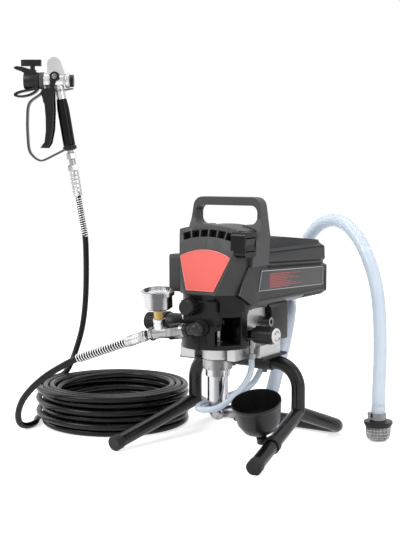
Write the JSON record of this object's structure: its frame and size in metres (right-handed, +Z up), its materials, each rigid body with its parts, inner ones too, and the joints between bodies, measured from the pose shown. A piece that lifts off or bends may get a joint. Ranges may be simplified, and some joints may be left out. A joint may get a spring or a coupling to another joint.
{
  "type": "airless paint sprayer",
  "caption": "Electric airless paint sprayer on a tube stand, with piston pump, gauge, coiled pressure hose, siphon hose, drip cup and spray gun.",
  "frame": {"origin": "on the floor, under the middle of machine and gun together (hoses left out)", "axes": "+X to the machine's right side, +Y to its back, +Z up; the pump's axis is vertical at x 0.1976, y -0.0928"},
  "size_m": [0.7987, 0.4694, 0.728],
  "materials": {
    "frame_tube": "black powder-coated steel tube, satin",
    "sleeve_metal": "dark painted steel, satin",
    "cap_rubber": "matt rubber foot caps",
    "zinc": "zinc-plated steel",
    "cup_plastic": "black moulded polypropylene",
    "plate_black": "black powder coat, slightly rough",
    "cast_alu": "bare die-cast aluminium, satin",
    "collar_alu": "cast aluminium, satin",
    "steel_polished": "turned and polished stainless steel",
    "valve_steel": "turned steel",
    "rod_chrome": "hard-chromed rod",
    "forged_steel": "machined steel",
    "brass": "brass, turned",
    "housing_paint": "black satin paint on cast housing",
    "cover_plastic": "dark grey fine-textured plastic",
    "red_plate": "red panel with a dark weave in its lower part, bare",
    "handle_plastic": "black textured plastic",
    "shroud_plastic": "black plastic, half gloss",
    "grille_plastic": "black plastic",
    "switch_plastic": "black plastic switch",
    "filter_paint": "dark anodised metal",
    "nut_plated": "nickel-plated steel",
    "tee_plated": "nickel-plated brass, bright",
    "dial_white": "white printed dial",
    "needle_black": "black needle",
    "lens_clear": "clear lens",
    "knob_plastic": "black ribbed plastic",
    "spring_wire": "plated spring wire",
    "hose_black": "black smooth hose cover",
    "hose_clear": "translucent bluish PVC hose",
    "strainer_grey": "fine steel mesh in a grey cap",
    "gun_alu": "polished aluminium casting",
    "gun_black": "black plastic",
    "grip_black": "black coated grip",
    "trigger_black": "black coated trigger"
  },
  "bodies": {
    "base": {"cross_tube": "frame_tube", "tube_sleeves": "sleeve_metal", "legs": "frame_tube", "front_feet": "frame_tube", "rear_feet": "frame_tube", "foot_caps": "cap_rubber", "sleeve_bolts": "zinc", "drip_cup": "cup_plastic", "cup_bracket": "plate_black", "base_plate": "plate_black", "pump_casting": "cast_alu", "pump_collar": "collar_alu", "pump_cylinder": "steel_polished", "inlet_valve": "valve_steel", "packing_nut": "brass", "gear_housing": "housing_paint", "front_cover": "cover_plastic", "front_plate": "red_plate", "carry_handle": "handle_plastic", "motor_shroud": "shroud_plastic", "control_box": "cover_plastic", "rear_grille": "grille_plastic", "switch_box": "switch_plastic", "cord_gland": "knob_plastic", "filter_housing": "filter_paint", "outlet_elbow": "filter_paint", "outlet_tee": "tee_plated", "gauge_stem": "brass", "gauge_case": "steel_polished", "gauge_dial": "dial_white", "gauge_lens": "lens_clear", "prime_valve": "nut_plated", "sensor_plug": "zinc", "supply_ferrule": "tee_plated", "supply_spring": "spring_wire", "hose_supply": "hose_black", "hose_coil": "hose_black", "hose_gun": "hose_black", "gun_spring": "spring_wire", "gun_ferrule": "tee_plated", "siphon_hose": "hose_clear", "strainer": "strainer_grey", "drain_hose": "hose_clear"},
    "piston": {"piston_rod": "rod_chrome"},
    "rod": {"connecting_rod": "forged_steel"},
    "crankshaft": {"crank": "forged_steel"},
    "knob": {"pressure_knob": "knob_plastic"},
    "prime": {"prime_knob": "knob_plastic"},
    "rocker": {"power_switch": "switch_plastic"},
    "cap": {"filter_cap": "knob_plastic"},
    "nut": {"swivel_nut": "nut_plated"},
    "needle": {"gauge_needle": "needle_black"},
    "gun": {"gun_body": "gun_alu", "gun_end_cap": "gun_black", "gun_handle": "grip_black", "trigger_guard": "gun_black"},
    "trigger": {"gun_trigger": "trigger_black"},
    "lock": {"trigger_lock": "nut_plated"},
    "guard": {"tip_guard": "gun_black"},
    "tip": {"spray_tip": "gun_black"}
  },
  "joints": [
    {"name": "piston_slide", "type": "slide", "parent": "base", "child": "piston", "axis": [0, 0, 1], "range_m": [-0.008, 0.008]},
    {"name": "wrist_pin", "type": "hinge", "parent": "piston", "child": "rod", "pos_m": [0.1976, -0.0928, 0.22895], "axis": [0, 1, 0], "range_deg": [-27.22, 0]},
    {"name": "crank_spin", "type": "hinge", "parent": "base", "child": "crankshaft", "pos_m": [0.1976, -0.0728, 0.262], "axis": [0, 1, 0], "continuous": true},
    {"name": "pressure_turn", "type": "hinge", "parent": "base", "child": "knob", "pos_m": [0.1846, -0.1571, 0.262], "axis": [0, -1, 0], "range_deg": [0, 270]},
    {"name": "prime_turn", "type": "hinge", "parent": "base", "child": "prime", "pos_m": [0.2669, -0.0768, 0.21], "axis": [1, 0, 0], "range_deg": [0, 180]},
    {"name": "rocker_tilt", "type": "hinge", "parent": "base", "child": "rocker", "pos_m": [0.2716, -0.125, 0.37], "axis": [0, 1, 0], "range_deg": [-10, 10]},
    {"name": "filter_cap_turn", "type": "hinge", "parent": "base", "child": "cap", "pos_m": [0.0976, -0.1288, 0.226], "axis": [-1, 0, 0], "range_deg": [0, 360]},
    {"name": "hose_nut_turn", "type": "hinge", "parent": "base", "child": "nut", "pos_m": [0.17507, -0.1748, 0.22162], "axis": [-0.9848, 0, -0.1736], "range_deg": [0, 360]},
    {"name": "needle_turn", "type": "hinge", "parent": "base", "child": "needle", "pos_m": [0.13241, -0.18454, 0.28268], "axis": [-0.0518, 0.1392, -0.9889], "range_deg": [0, 270]},
    {"name": "gun_swivel", "type": "hinge", "parent": "base", "child": "gun", "pos_m": [-0.24961, 0.04406, 0.53707], "axis": [-0.1342, -0.0868, 0.9871], "continuous": true},
    {"name": "trigger_pull", "type": "hinge", "parent": "gun", "child": "trigger", "pos_m": [-0.27396, 0.02831, 0.688], "axis": [0.5432, -0.8396, 0], "range_deg": [0, 12], "stiffness_Nm_per_rad": 0.8, "springref_deg": -8.59},
    {"name": "lock_swing", "type": "hinge", "parent": "gun", "child": "lock", "pos_m": [-0.26657, 0.03309, 0.66174], "axis": [0.1342, 0.0868, -0.9871], "range_deg": [0, 90]},
    {"name": "guard_turn", "type": "hinge", "parent": "gun", "child": "guard", "pos_m": [-0.31342, 0.00278, 0.68], "axis": [0.8396, 0.5432, 0], "range_deg": [-90, 90]},
    {"name": "tip_turn", "type": "hinge", "parent": "guard", "child": "tip", "pos_m": [-0.31342, 0.00278, 0.68], "axis": [0, 0, 1], "range_deg": [0, 180]}
  ]
}
